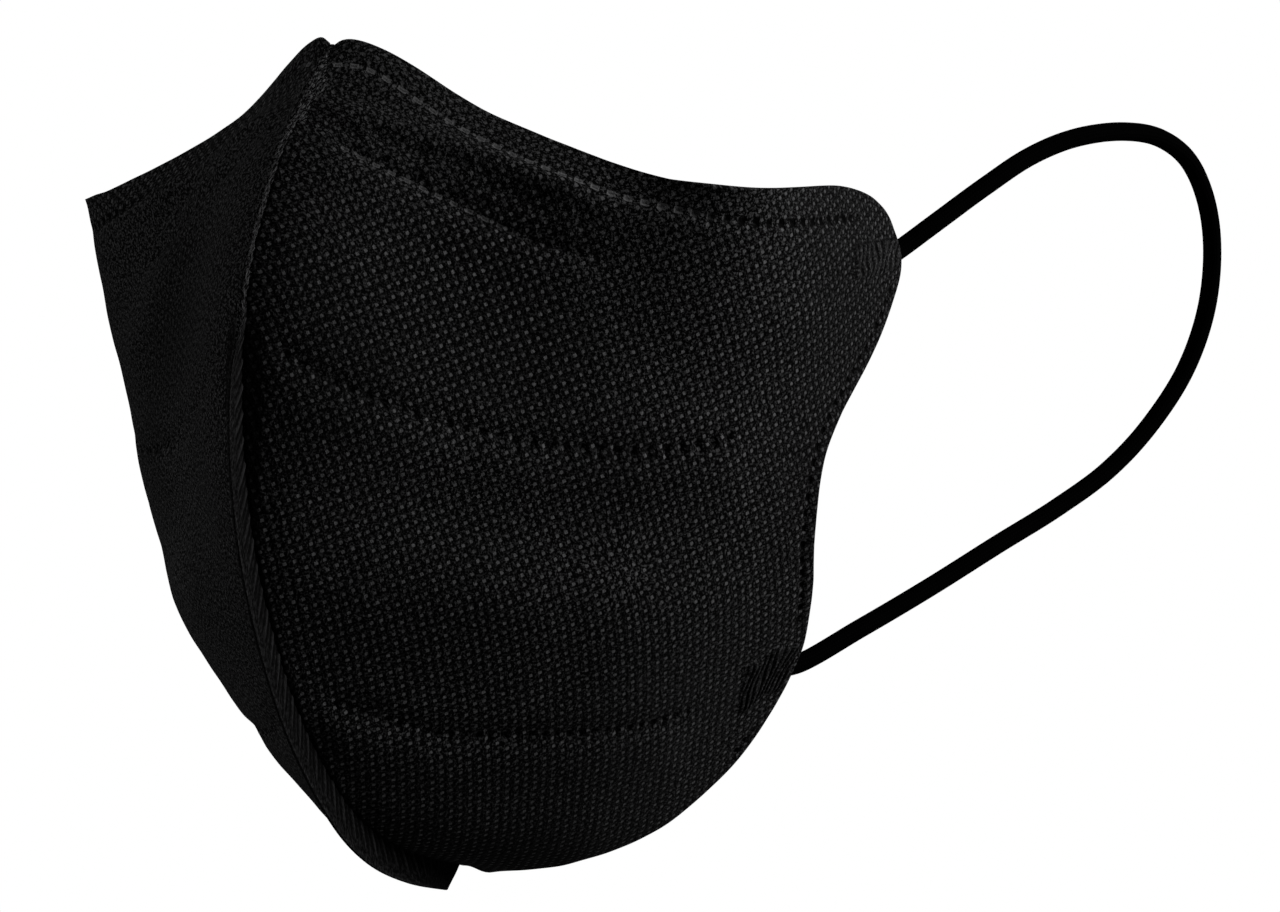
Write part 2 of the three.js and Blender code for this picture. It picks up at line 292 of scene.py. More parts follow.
SECTION_COLUMNS = (
    "seam_y", "seam_z", "leave_angle", "leave_reach", "leave_drop",
    "edge_x", "edge_y", "edge_z", "meet_angle", "meet_reach", "meet_drop", "fin_width")
SECTION_ROWS = [
    (0, 0, 31, 61.5, 28, 66.8, 61, -21.9, 87, 53, -2.6, -0.3),
    (-6.2, -4.5, 30.5, 63.5, 28, 66.9, 72.4, -24, 91, 56, -4.6, -0.1),
    (-12.4, -10.5, 33, 69.5, 24, 66.8, 80.5, -28.4, 93, 57.5, -4.2, 0),
    (-21.8, -20, 43, 75, 23, 66.7, 84.2, -36, 93, 62, -2.8, 0),
    (-32, -38, 52, 80, 15.5, 65.6, 76.5, -48, 91, 52, 0, 0.5),
    (-34.2, -58, 52, 65.5, 9.5, 63, 61.5, -66, 78, 34, 0.8, 3.7),
    (-31.8, -76, 53.5, 60.5, 4, 60.8, 61, -80, 74, 30.5, 0.8, 4.5),
    (-25.4, -92, 47.5, 65.5, 1, 56.8, 68.5, -92, 77, 34, 0, 4.7),
    (-14.4, -108.4, 49, 59, 1, 50.8, 76.5, -103.5, 75, 34, -2, 4.8),
    (0.6, -122, 52, 43, 1, 40.3, 78.5, -118.3, 73, 28, -4, 5),
    (14, -129.5, 49, 28, 1, 27.6, 71.3, -131.3, 68, 21, -3, 5.1),
    (30, -134, 45, 14, 1, 15, 62.5, -137.2, 60, 12, -1, 4.9),
    (50, -137, 30, 2, 0, 4, 53.5, -138.3, 40, 2, 0, 4.4),
]
SECTIONS = dict(zip(SECTION_COLUMNS, np.array(SECTION_ROWS, float).T))
CHIN = len(SECTION_ROWS) - 1
# Rows of the panel's mesh between one section and the next.
ROW_SHARES = (15, 16, 24, 36, 40, 30, 28, 33, 34, 30, 27, 27)


def section(column, v):
    """A column's value at place v along the sections, on a smooth curve through the rows."""
    values = SECTIONS[column]
    at = np.clip(np.floor(v).astype(int), 0, CHIN - 1)
    t = v - at
    b, c = values[at], values[at + 1]
    a = np.where(at > 0, values[np.maximum(at - 1, 0)], 2 * b - c)
    d = np.where(at + 2 <= CHIN, values[np.minimum(at + 2, CHIN)], 2 * c - b)
    bend = 2 * a - 5 * b + 4 * c - d
    twist = 3 * b - a - 3 * c + d
    return 0.5 * (2 * b + (c - a) * t + bend * t * t + twist * t ** 3)


def smooth_cloth(u, v):
    """Places on the bare curved panel: u from seam to ear edge, v from nose to chin."""
    u, v = np.broadcast_arrays(np.asarray(u, float), np.asarray(v, float))
    leave, meet = np.radians(section("leave_angle", v)), np.radians(section("meet_angle", v))
    leave_reach, meet_reach = section("leave_reach", v), section("meet_reach", v)
    seam = np.stack([np.full_like(v, GAP_TO_SEAM), section("seam_y", v), section("seam_z", v)], -1)
    edge = np.stack([section("edge_x", v), section("edge_y", v), section("edge_z", v)], -1)
    out = seam + np.stack([np.cos(leave) * leave_reach, np.sin(leave) * leave_reach,
                           -section("leave_drop", v)], -1)
    back = edge - np.stack([np.cos(meet) * meet_reach, np.sin(meet) * meet_reach,
                            -section("meet_drop", v)], -1)
    t = u[..., None]
    return ((1 - t) ** 3 * seam + 3 * (1 - t) ** 2 * t * out
            + 3 * (1 - t) * t ** 2 * back + t ** 3 * edge)


def cloth_normal(u, v, step=0.002):
    u, v = np.broadcast_arrays(np.asarray(u, float), np.asarray(v, float))
    across = smooth_cloth(np.minimum(u + step, 1), v) - smooth_cloth(np.maximum(u - step, 0), v)
    down = (smooth_cloth(u, np.minimum(v + step, CHIN))
            - smooth_cloth(u, np.maximum(v - step, 0)))
    return -unit(np.cross(across, down))


# Lines that cross the cloth, each as (share of the way from seam to ear edge, section).
LINES = {
    "rim": [(0, 0.84), (0.04, 0.65), (0.09, 0.8), (0.16, 0.98), (0.24, 1.3), (0.32, 1.43),
            (0.41, 1.43), (0.51, 1.5), (0.62, 1.58), (0.75, 1.55), (0.86, 1.53), (0.93, 1.62)],
    "ear edge": [(1, 3), (1, 4), (1, 5), (1, 6), (1, 7), (1, 7.5), (1, 8.5), (1, 9.3)],
    "wire": [(0, 2.02), (0.04, 1.89), (0.08, 1.8), (0.13, 1.8), (0.2, 1.86), (0.28, 2),
             (0.36, 2.2)],
    "pocket": [(0.03, 2.54), (0.08, 2.68), (0.15, 2.83), (0.22, 2.98), (0.27, 3.03), (0.34, 3)],
    "middle": [(0.02, 4.57), (0.08, 4.76), (0.18, 4.93), (0.3, 5.05), (0.43, 5.09), (0.56, 5.06),
               (0.69, 4.93), (0.76, 4.87)],
    "lower": [(0.03, 7.93), (0.09, 8.12), (0.18, 8.33), (0.3, 8.36), (0.46, 8.39), (0.6, 8.38),
              (0.74, 8.29)],
}


def beside(points, places, step=0.25):
    """How far each point lies along a line of the cloth, and how far to its chin side."""
    u, v = smooth_line(places).T
    line = evenly_spaced(smooth_cloth(u, v), step)
    u_even = np.interp(np.linspace(0, 1, len(line)), np.linspace(0, 1, len(u)), u)
    v_even = np.interp(np.linspace(0, 1, len(line)), np.linspace(0, 1, len(v)), v)
    way = unit(np.gradient(line, axis=0))
    chin_side = np.cross(way, cloth_normal(u_even, v_even))
    along = np.zeros(points.shape[:-1])
    below = np.zeros(points.shape[:-1])
    for r, row in enumerate(points):
        near = np.argmin(((row[:, None] - line) ** 2).sum(-1), axis=1)
        off = row - line[near]
        ahead_of = (off * way[near]).sum(-1)
        along[r] = near * step + ahead_of
        aside = np.sqrt(np.maximum((off ** 2).sum(-1) - ahead_of ** 2, 0))
        below[r] = aside * np.sign((off * chin_side[near]).sum(-1))
    return along, below, len(line) * step


def hill(distance, half_width):
    return np.exp(-(distance / half_width) ** 2)


def ripple(along, pitch=1):
    """1 at each whole pitch along, 0 half way between two of them."""
    return 0.5 + 0.5 * np.cos(2 * np.pi * along / pitch)


def dashes(along, pitch, share):
    """1 on each pressed dash of a line, 0 between two of them, with soft ends."""
    return smoothstep(ripple(along, pitch), 0.5 - share, 1.05 - share)


# How a pressed line shapes the cloth: the valley's depth and half width, the depth and half
# width of its dashes, their pitch, the pillows puffed up between two dashes, and the height
# and distance of the lip on its chin side.
WELD_COLUMNS = (
    "valley", "valley_width", "dash", "dash_width", "pitch", "pillow", "lip", "lip_at")
WELDS = {
    "rim": (0.25, 1.2, 0.2, 0.45, 2.9, 0.1, 0.1, 2.5),
    "pocket": (0.7, 1.6, 0.25, 0.45, 2.85, 0.2, 0.35, 4.0),
    "middle": (0.6, 2.0, 0.35, 0.6, 3.15, 0.45, 0.45, 4.5),
    "lower": (0.65, 2.3, 0.35, 0.5, 2.6, 0.2, 0.5, 6.0),
}
WELD_STARTS = (-1, 3)    # where a pressed line sinks in, and where it comes out from its end on
WELD_ENDS = (-8, 2)
WELD_DASH = 0.1          # how much longer a dash is than half its pitch
PILLOW_AT = 0.8
PILLOW_HALF = 1.1
EAR_WELD = 2.6           # how far inside the ear edge its dashes run
EAR_PITCH = 2.6
EAR_DASH = 0.2
EAR_VALLEY = (0.25, 1.1)     # depth and half width of their groove, and of the dashes
EAR_PRESSED = (0.35, 0.5)
BY_LOWER_WELD = ((7.2, 7.6), (8.5, 8.9))   # they stop between these sections
SEAM_FADE = 0.04         # folds start within this share of the panel at the seam
SEAM_SWELL = 1.9         # how high the cloth puffs up beside the welded seam
SWELL_AT = 13            # and how far from the seam it is highest
SWELL_STARTS = (1.2, 3.4)
SWELL_ENDS = (5, 7.5)
WIRE_RIDGE = 1.15        # the flat wire lifts the cloth in a ridge this high
WIRE_HALF = 2.6
WIRE_END = 14            # the stretch over which it sinks away
# Beside the nose each panel stands up in a hump, which rises more softly further down.
NOSE_HUMP = {
    "height": 2.8, "rise": 2.2, "softer": 3.5, "softens": (0.15, 1.2), "flat": 7, "end": 30,
    "last_section": 2, "right_higher": 0.7}
# On the right panel a soft pleat runs from the seam's middle down towards the ear edge.
PLEAT = [(0.04, 1.4), (0.1, 2.3), (0.2, 3.2), (0.36, 3.9), (0.55, 4.3), (0.75, 4.5)]
PLEAT_HEIGHT = 1.0
PLEAT_HALF = 5.5
PLEAT_ENDS = (12, 15)
PLEAT_HOLLOW = (0.8, 9, 7)   # the hollow above it: its depth, its distance, half its width
RIGHT_CALM = (0.8, 0.38, 0.55)   # how much flatter the right panel's folds get, and where
WAVES = ((0.5, 34), (0.2, 15), (0.08, 5))   # height and size of the cloth's own unevenness
WAVES_START = 6          # how far from the seam that is full
WAVES_FLAT = 1.3         # how much closer together it comes downwards
PUCKER = (0.5, 2.6)      # the same for the puckers between the wire and its pocket's weld
PUCKER_STARTS = (0, 3)
PUCKER_ENDS = (-0.5, 2)
CORNER_EASE = 0.115      # the slope taken off both sides of the upper ear corner
CORNER_WIDE = 5.0        # how wide a stretch of the outline that rounds


def to_seam(v, points):
    """How far each point is from the seam in its own row."""
    return np.linalg.norm(points - smooth_cloth(np.zeros_like(v), v), axis=-1)


def off_lower_weld(v):
    """0 beside the lower loop weld, where the ear edge has no dashes, and 1 elsewhere."""
    stops, starts = BY_LOWER_WELD
    return 1 - smoothstep(v, *stops) * (1 - smoothstep(v, *starts))


def cloth_relief(u, v, points, lines, side):
    """How far the cloth stands out of the bare curved panel at each point."""
    height = np.zeros(u.shape)
    calm = 1 - RIGHT_CALM[0] * smoothstep(u, *RIGHT_CALM[1:]) if side < 0 else 1
    if side < 0:
        along, below, length = lines["pleat"]
        rise, sink = PLEAT_ENDS
        depth, above, half = PLEAT_HOLLOW
        fade = smoothstep(along, 0, rise) * (1 - smoothstep(along, length - sink, length))
        height += PLEAT_HEIGHT * fade * calm * (
            hill(below, PLEAT_HALF) - depth * hill(below + above, half))
    for name, row in WELDS.items():
        weld = dict(zip(WELD_COLUMNS, row))
        along, below, length = lines[name]
        fade = smoothstep(along, *WELD_STARTS) * (
            1 - smoothstep(along, length + WELD_ENDS[0], length + WELD_ENDS[1]))
        dash = dashes(along, weld["pitch"], WELD_DASH)
        height += fade * (
            -weld["valley"] * calm * hill(below, weld["valley_width"])
            - weld["dash"] * dash * hill(below, weld["dash_width"])
            + weld["pillow"] * calm * (1 - dash) * hill(below - PILLOW_AT, PILLOW_HALF)
            + weld["lip"] * calm * hill(below - weld["lip_at"], weld["lip_at"]))
    along, below, length = lines["wire"]
    fade = 1 - smoothstep(along, length - WIRE_END, length)
    height += WIRE_RIDGE * fade * hill(below, WIRE_HALF)
    puckered = fade * smoothstep(below, *PUCKER_STARTS) * smoothstep(
        -lines["pocket"][1], *PUCKER_ENDS)
    height *= smoothstep(u, 0, SEAM_FADE)
    along, below, length = lines["ear edge"]
    fade = smoothstep(along, 2, 8) * (1 - smoothstep(along, length - 6, length))
    fade = fade * off_lower_weld(v)
    inside = np.abs(below) - EAR_WELD
    height += -fade * (
        EAR_VALLEY[0] * hill(inside, EAR_VALLEY[1])
        + EAR_PRESSED[0] * dashes(along, EAR_PITCH, EAR_DASH) * hill(inside, EAR_PRESSED[1]))
    away = to_seam(v, points)
    swollen = smoothstep(v, *SWELL_STARTS) * (1 - smoothstep(v, *SWELL_ENDS))
    height += swollen * SEAM_SWELL * away / SWELL_AT * np.exp(1 - away / SWELL_AT)
    waves = [(tall, wide, np.minimum(away / WAVES_START, 1)) for tall, wide in WAVES]
    waves.append((*PUCKER, puckered))
    for tall, wide, strength in waves:
        for r, c in zip(*np.nonzero(strength > 0.01)):
            x, y, z = points[r, c]
            height[r, c] += tall * strength[r, c] * noise.noise(
                Vector((x * side, y, z * WAVES_FLAT)) / wide)
    return height


def nose_hump(v, points, side):
    """How far the cloth is lifted in the hump beside the nose."""
    way = to_seam(v, points)
    reach = NOSE_HUMP["rise"] + NOSE_HUMP["softer"] * smoothstep(v, *NOSE_HUMP["softens"])
    rise = (1 - np.exp(-way / reach)) * (1 - smoothstep(way, NOSE_HUMP["flat"], NOSE_HUMP["end"]))
    height = NOSE_HUMP["height"] + (NOSE_HUMP["right_higher"] if side < 0 else 0)
    return height * rise * (1 - smoothstep(v, 0, NOSE_HUMP["last_section"]))


def corner_ease(points):
    """How far the upper ear corner is lowered, so that its outline turns in a smooth curve."""
    away = np.linalg.norm(points - points[0, -1], axis=-1)
    return CORNER_EASE * (np.hypot(away, CORNER_WIDE) - away)


def panel_grid():
    """The places of the panel's mesh, with its columns closer together near both edges."""
    v = np.concatenate([
        at + np.arange(rows) / rows for at, rows in enumerate(ROW_SHARES)] + [[CHIN]])
    t = np.linspace(0, 1, PANEL_COLUMNS + 1)
    u = (1 - CLOSER) * t + CLOSER * (0.5 - 0.5 * np.cos(np.pi * t))
    return np.broadcast_arrays(u[None, :], v[:, None])


def grid_faces(numbers):
    """Faces between the neighbours of a grid of point numbers. Turned, they face the other way."""
    corners = [numbers[:-1, :-1], numbers[1:, :-1], numbers[1:, 1:], numbers[:-1, 1:]]
    return [tuple(face) for face in np.stack(corners, axis=-1).reshape(-1, 4).tolist()]


def flat_places(u, v, every=8):
    """Each point's place on the panel laid flat, in millimetres, from a coarse copy of it."""
    rows = np.unique(np.append(np.arange(0, u.shape[0], every), u.shape[0] - 1))
    columns = np.unique(np.append(np.arange(0, u.shape[1], every), u.shape[1] - 1))
    coarse = smooth_cloth(u[np.ix_(rows, columns)], v[np.ix_(rows, columns)])
    wide = len(columns)
    numbers = np.arange(len(rows) * wide).reshape(-1, wide)
    sample = new_piece("flat_pattern", coarse.reshape(-1, 3), grid_faces(numbers))
    bpy.ops.object.select_all(action="DESELECT")
    bpy.context.view_layer.objects.active = sample
    sample.select_set(True)
    sample.data.uv_layers.new(name="flat")
    bpy.ops.object.mode_set(mode="EDIT")
    bpy.ops.mesh.select_all(action="SELECT")
    bpy.ops.uv.unwrap(method="MINIMUM_STRETCH", iterations=30, margin=0)
    bpy.ops.object.mode_set(mode="OBJECT")
    corner = np.zeros(len(sample.data.loops), int)
    sample.data.loops.foreach_get("vertex_index", corner)
    spread = np.zeros(len(corner) * 2, np.float32)
    sample.data.uv_layers["flat"].data.foreach_get("uv", spread)
    flat = np.zeros((len(sample.data.vertices), 2))
    flat[corner] = spread.reshape(-1, 2)
    flat = flat.reshape(len(rows), wide, 2)
    bpy.data.objects.remove(sample)
    cloth_step = np.linalg.norm(np.diff(coarse, axis=1), axis=-1).sum()
    map_step = np.linalg.norm(np.diff(flat, axis=1), axis=-1).sum()
    flat *= cloth_step / map_step
    # Turned so that the row through the panel's middle runs level, away from the seam.
    r, c = len(rows) // 2, wide // 2
    across = flat[r, c + 2] - flat[r, c - 2]
    down = flat[r + 2, c] - flat[r - 2, c]
    turned = np.array([across, (-across[1], across[0])]) / np.linalg.norm(across)
    flat = (flat - flat[r, c]) @ turned.T
    if (turned @ down)[1] > 0:
        flat[..., 1] *= -1
    by_row = np.stack([[np.interp(np.arange(u.shape[1]), columns, flat[i, :, k])
                        for k in (0, 1)] for i in range(len(rows))])
    return np.stack([[np.interp(np.arange(u.shape[0]), rows, by_row[:, k, c])
                      for k in (0, 1)] for c in range(u.shape[1])]).transpose(2, 0, 1)


def panel_faces(rows, columns):
    """Faces of a closed wall: a fine outer grid, an inner one half as fine, and the rim."""
    inner_columns = (columns + 1) // 2
    start = rows * columns

    def outer(r, c):
        return r * columns + c

    def inner(r, c):
        return start + (r // 2) * inner_columns + c // 2

    faces = grid_faces(np.arange(start).reshape(rows, columns))
    numbers = start + np.arange((rows + 1) // 2 * inner_columns).reshape(-1, inner_columns)
    faces += grid_faces(numbers.T)
    last_r, last_c = rows - 1, columns - 1
    for r in range(0, last_r, 2):
        faces.append((outer(r + 2, 0), outer(r + 1, 0), outer(r, 0), inner(r, 0), inner(r + 2, 0)))
        faces.append((outer(r, last_c), outer(r + 1, last_c), outer(r + 2, last_c),
                      inner(r + 2, last_c), inner(r, last_c)))
    for c in range(0, last_c, 2):
        faces.append((outer(0, c), outer(0, c + 1), outer(0, c + 2), inner(0, c + 2), inner(0, c)))
        faces.append((outer(last_r, c + 2), outer(last_r, c + 1), outer(last_r, c),
                      inner(last_r, c), inner(last_r, c + 2)))
    return faces


def set_attribute(piece, name, values):
    attribute = piece.data.attributes.new(name, "FLOAT_VECTOR", "POINT")
    attribute.data.foreach_set("vector", values.astype(np.float32).ravel())


BOND_PITCH = 1.7         # the lattice of bonded squares
BOND_TURN = math.radians(24)
BOND_HALF = 0.17         # half a bonded square, as a share of the pitch
BOND_EDGE = 0.035
BOND_RAGGED = 0.2
BOND_SHADE = (-0.14, 0.17, 0)   # which way the shadow painted beside each square falls
SHADE_EDGE = (0.04, 0.16)
FIBRE_BLACK = (0.0004, 0.0004, 0.0004, 1)
FIBRE_GREY = (0.0165, 0.0165, 0.0168, 1)
FLECK_GREY = (0.055, 0.055, 0.056, 1)
# painted highlight: the glint of the bonded squares' glossy film, laid into their colour
BOND_GLINT_GREY = (0.085, 0.085, 0.0865, 1)
# the black painted as shade in pits, grooves and creases and beside each square, and on the fin's
# plain faces
SHADE_AND_WELD_BLACK = (0.0003, 0.0003, 0.0003, 1)
# painted highlight: the glint of the glossy dashes, laid into their colour
DASH_GLINT_GREY = (0.08, 0.08, 0.081, 1)
# painted highlight on the crests of welded ribs
RIB_GREY = (0.035, 0.035, 0.0356, 1)
# The fuzz on the cloth: streaks, single fibres and tufts, their shares in what shows, how much
# that stands out on smooth cloth and on loose, and where fibres turn grey and flecks light.
STREAKS = {"Scale": 0.9, "Detail": 2.0, "Roughness": 0.7, "Distortion": 0.8}
STREAK_STRETCH = (3.6, 1.0, 1)
FINE = {"Scale": 2.5, "Detail": 1.0, "Roughness": 0.6}
TUFTS = {"Scale": 1.3, "Detail": 2.0, "Roughness": 0.8}
SPECKS = {"fine": 0.45, "tufts": 0.4, "streaks": 0.15}
SPECKS_STAND = (0.8, 2.4)
FIBRES_SHOW = (0.42, 0.68)
FLECKS_SHOW = (0.66, 0.88)
FLECK_SHARE = 0.7
# Where the cloth's fibres stand loose or lie smooth, and where shade is painted on it: a place on
# the panel (share of the way from seam to ear edge, section), how loose its fibres are, how clear
# its bonded squares with their painted glint and shadow, and how much painted shade lies there.
FACES = [
    (0.08, 1.2, 1.6, 0.6, 0.36), (0.3, 1.0, 1.4, 0.8, 0.26), (0.6, 1.2, 1.4, 0.8, 0.05),
    (0.85, 1.6, 1.0, 0.9, 0.4), (0.15, 2.3, 1.4, 0.6, 0.3), (0.36, 2.4, 1.6, 0.6, 0.1),
    (0.18, 3.2, 0.4, 1.3, 0.15), (0.35, 3.2, 1.0, 0.9, 0.1), (0.6, 3.2, 1.0, 1.0, 0),
    (0.85, 3.4, 0.9, 0.9, 0.45), (0.28, 4.2, 0.3, 1.0, 0.15), (0.5, 4.3, 0.9, 1.0, 0),
    (0.7, 4.2, 0.8, 1.2, 0.15), (0.06, 4.8, 0.9, 1.0, 0.5), (0.3, 5.4, 1.3, 1.0, 0.25),
    (0.45, 5.1, 0.4, 0.8, 0.05), (0.97, 5.0, 0.8, 0.9, 0.45), (0.75, 5.6, 0.9, 1.0, 0.15),
    (0.1, 6.4, 0.7, 0.9, 0.1), (0.25, 6.6, 0.6, 0.9, 0.15), (0.4, 6.4, 1.2, 1.1, 0.25),
    (0.65, 6.6, 1.0, 1.0, 0.2), (0.2, 8.0, 1.0, 1.0, 0), (0.5, 8.2, 0.8, 0.7, 0.15),
    (0.2, 9.6, 0.6, 0.8, 0), (0.5, 9.6, 0.6, 0.7, 0.2),
]
FACE_REACH = 9           # how many millimetres wide each such place is
# Which pressed dashes are painted as light bars, a painted highlight for the glint of their glossy
# film: the stretch over which they fade out, how bright they are, half the bar's width, and its
# shortness. The others are dull pits, painted black as the shade in them.
GLINT_BARS = {"rim": (56, 78, 1.0, 0.4, -0.1), "pocket": (26, 38, 0.8, 0.36, 0.1)}
RIGHT_GLINT_FADES = (4, 8)    # on the right panel the bars' painted highlight fades out within this stretch
BAR_EDGES = (0.15, 0.06)     # how soft a bar's ends and sides are
BAR_MIDDLE = (0.35, 0.7)     # its duller middle: how much shorter, narrower and duller
MIDDLE_INSIDE = (0.32, 0.12)
MIDDLE_DULL = 0.55
# How black the dull pits of each line are painted, as the shade in them.
PIT_DEPTHS = {"rim": 1.0, "pocket": 0.6, "middle": 0.45, "lower": 0.55, "ear": 1.0}
PIT_ENDS = (0, 0.45)
PIT_SIDES = (0.35, 0.65)
BAR_SPREAD = (20, 32)    # from here on the rim's dashes lie on a slope and are pressed wider
WIDER = 0.7              # a wider dash counts distances across it as this share of themselves
EAR_NARROWS = (3.6, 4.8)     # the ear edge's dashes are as wide above this, and narrower below
EAR_NARROWER = 1.6
SEAM_SHADE_WIDTH = (3.2, 1.0)     # how wide the margin beside the seam is painted with shade, above and below
SEAM_SHADE_STARTS = (4.0, 4.8)
SEAM_SHADE_NARROWS = (5.0, 6.6)
SEAM_SHADE_EDGE = (0.5, 1.4)
RIGHT_FADES = (0.8, 2.8)      # below these sections the right panel's squares lose most of their painted glint and shadow, and its fibres show more
RIGHT_FADES_LOOSE = 0.7
RIGHT_FADES_CLEAR = 0.8
RIGHT_PAINTED_SHADE = (0.2, 4, 6)   # and above these it gets painted shade


def face_places(v, points, side):
    """How loose the fibres, how clear the squares, how far the seam's margin is painted with
    shade, and how much painted shade lies on each place.
    """
    # The margin beside the seam is painted black as the shade in the crease between the swollen
    # cloth and the fin.
    wide = SEAM_SHADE_WIDTH[0] + (SEAM_SHADE_WIDTH[1] - SEAM_SHADE_WIDTH[0]) * smoothstep(v, *SEAM_SHADE_NARROWS)
    near, far = (wide * share for share in SEAM_SHADE_EDGE)
    pressed = smoothstep(v, *SEAM_SHADE_STARTS) * (1 - smoothstep(to_seam(v, points), near, far))
    # Lower down, the right panel's squares lose their painted glint and shadow, and its fibres
    # show more.
    right_fades = smoothstep(v, *RIGHT_FADES) if side < 0 else 0
    face_u, face_v, loose, clear, painted_shade = np.array(FACES).T
    away = np.linalg.norm(points[:, :, None] - smooth_cloth(face_u, face_v), axis=-1)
    weight = 1 / (away ** 2 + FACE_REACH ** 2) ** 2
    weight /= weight.sum(-1, keepdims=True)
    loose = (weight @ loose) * (1 + RIGHT_FADES_LOOSE * right_fades)
    clear = (weight @ clear) * (1 - RIGHT_FADES_CLEAR * right_fades)
    right_painted_shade = RIGHT_PAINTED_SHADE[0] * (1 - smoothstep(v, *RIGHT_PAINTED_SHADE[1:]))
    painted_shade = weight @ painted_shade if side > 0 else right_painted_shade
    return np.stack([loose, clear, pressed], axis=-1), painted_shade


def read_marks(start, name):
    """The three numbers that a piece's attribute holds at each point."""
    marks = start.node("Attribute", {"attribute_name": name}, output="Vector")
    first = start.node("SeparateXYZ", {}, {0: marks})
    return first, also(first, 1), also(first, 2)


def cloth_finish(name, sheen):
    """Bonded cloth with its pressed dashes, or the ribs that a weld has pressed into it."""
    finish, start = new_finish(name)
    place = start.node("UVMap", {"uv_map": "millimetres"})
    lattice = start.node("Mapping", {}, {
        "Vector": place, "Rotation": (0, 0, -BOND_TURN),
        "Scale": (1 / BOND_PITCH, 1 / BOND_PITCH, 1)})
    cell_settings = {"voronoi_dimensions": "2D", "distance": "MINKOWSKI"}
    cell_values = {"Vector": lattice, "Scale": 1.0, "Randomness": 0.1, "Exponent": 5.0}
    away = start.node("TexVoronoi", cell_settings, cell_values)
    cell_tone = start.node("TexVoronoi", cell_settings, cell_values, 1)
    tone = start.node("SeparateColor", {}, {0: cell_tone})
    shaded_place = start.node("VectorMath", {"operation": "ADD"}, {
        0: lattice, 1: BOND_SHADE})
    shade_away = start.node("TexVoronoi", cell_settings, {**cell_values, "Vector": shaded_place})
    streak_place = start.node("Mapping", {}, {
        "Vector": place, "Rotation": (0, 0, -BOND_TURN), "Scale": STREAK_STRETCH})
    streaks = start.node("TexNoise", {}, {"Vector": streak_place, **STREAKS})
    fine = start.node("TexNoise", {}, {"Vector": place, **FINE})
    tufts = start.node("TexNoise", {}, {"Vector": place, **TUFTS})
    loose, clear, pressed = read_marks(start, "face")
    fuzz = fine * SPECKS["fine"] + tufts * SPECKS["tufts"] + streaks * SPECKS["streaks"]
    specks = (fuzz - 0.5) * (SPECKS_STAND[0] + loose * SPECKS_STAND[1]) + 0.5
    fibres = rises(specks, *FIBRES_SHOW)
    flecks = rises(specks, *FLECKS_SHOW)
    ragged = away + (fine - 0.5) * BOND_RAGGED
    bond = 1 - rises(ragged, BOND_HALF - BOND_EDGE, BOND_HALF + BOND_EDGE)
    # The painted shadow beside each square: a crescent on one side of it.
    shade = (1 - bond) * (
        1 - rises(shade_away, BOND_HALF - SHADE_EDGE[0], BOND_HALF + SHADE_EDGE[1]))
    cloth = blend(fibres, FIBRE_BLACK, FIBRE_GREY)
    cloth = blend(flecks * FLECK_SHARE, cloth, FLECK_GREY)
    # Painted shadow beside each square.
    cloth = blend(shade * clear * 0.85, cloth, SHADE_AND_WELD_BLACK)
    # Each bonded square is painted lighter, a painted highlight for the glint of its film.
    cloth = blend(bond * (fine * 0.7 + tone * 0.5 + 0.1) * clear, cloth, BOND_GLINT_GREY)
    raised, sunk, _ = read_marks(start, "ribs")
    # Rib crests are painted lighter as a highlight, and the grooves between them black as painted
    # shade.
    cloth = blend(raised * (fine * 1.3 + 0.15), cloth, RIB_GREY)
    cloth = blend(sunk * 0.9, cloth, SHADE_AND_WELD_BLACK)
    *lit_lines, painted_shade = read_marks(start, "painted_glint_and_shade")
    height = streaks * 0.4 + tufts * 0.4 + fine * 0.6 - bond * clear * 0.5 - shade * clear * 0.5
    for weld in [*WELDS, "ear"]:
        along, below, on = read_marks(start, weld + "_weld")
        below = below.maths("ABSOLUTE")
        pitch = EAR_PITCH if weld == "ear" else WELDS[weld][WELD_COLUMNS.index("pitch")]
        wave = (along * (2 * math.pi / pitch)).maths("COSINE")
        pit = rises(wave, *PIT_ENDS) * (1 - rises(below, *PIT_SIDES)) * on
        if weld in GLINT_BARS:
            _, _, shine, half, short = GLINT_BARS[weld]
            lit = lit_lines[list(GLINT_BARS).index(weld)]
            end, border = BAR_EDGES
            # A glossy dash is painted as a light bar with a duller middle, a painted highlight for
            # its glint.
            bar = rises(wave, short - end, short + end) * (
                1 - rises(below + (fine - 0.5) * 0.15, half - border, half + border))
            middle = rises(wave, *(short + inside for inside in BAR_MIDDLE)) * (
                1 - rises(below, *(half - inside for inside in MIDDLE_INSIDE)))
            cloth = blend(bar * (1 - middle * MIDDLE_DULL) * lit * shine, cloth, DASH_GLINT_GREY)
            pit = pit * (1 - lit)
        # Each dull dash is painted black as the shade in its pit.
        cloth = blend(pit * PIT_DEPTHS[weld], cloth, SHADE_AND_WELD_BLACK)
        height = height - pit * 0.8
    # Painted shade, given place by place over each panel.
    cloth = blend(painted_shade, cloth, SHADE_AND_WELD_BLACK)
    # Painted shade in the crease beside the seam, broken up by the tufts.
    cloth = blend(rises(pressed + (tufts - 0.5) * 0.9, 0.3, 0.7) * 0.8, cloth, SHADE_AND_WELD_BLACK)
    bump = start.node("Bump", {}, {"Strength": 0.9, "Distance": 0.00018, "Height": height})
    set_shader(start, {
        "Base Color": cloth, "Roughness": 0.75 - bond * 0.25, "Specular IOR Level": 0.008,
        "Normal": bump, "Sheen Weight": sheen, "Sheen Roughness": 0.4})
    return finish


def both_faces(values):
    """A grid's values for the outer face, and for the inner one, whose mesh is half as fine."""
    size = values.shape[-1]
    return np.concatenate([values.reshape(-1, size), values[::2, ::2].reshape(-1, size)])


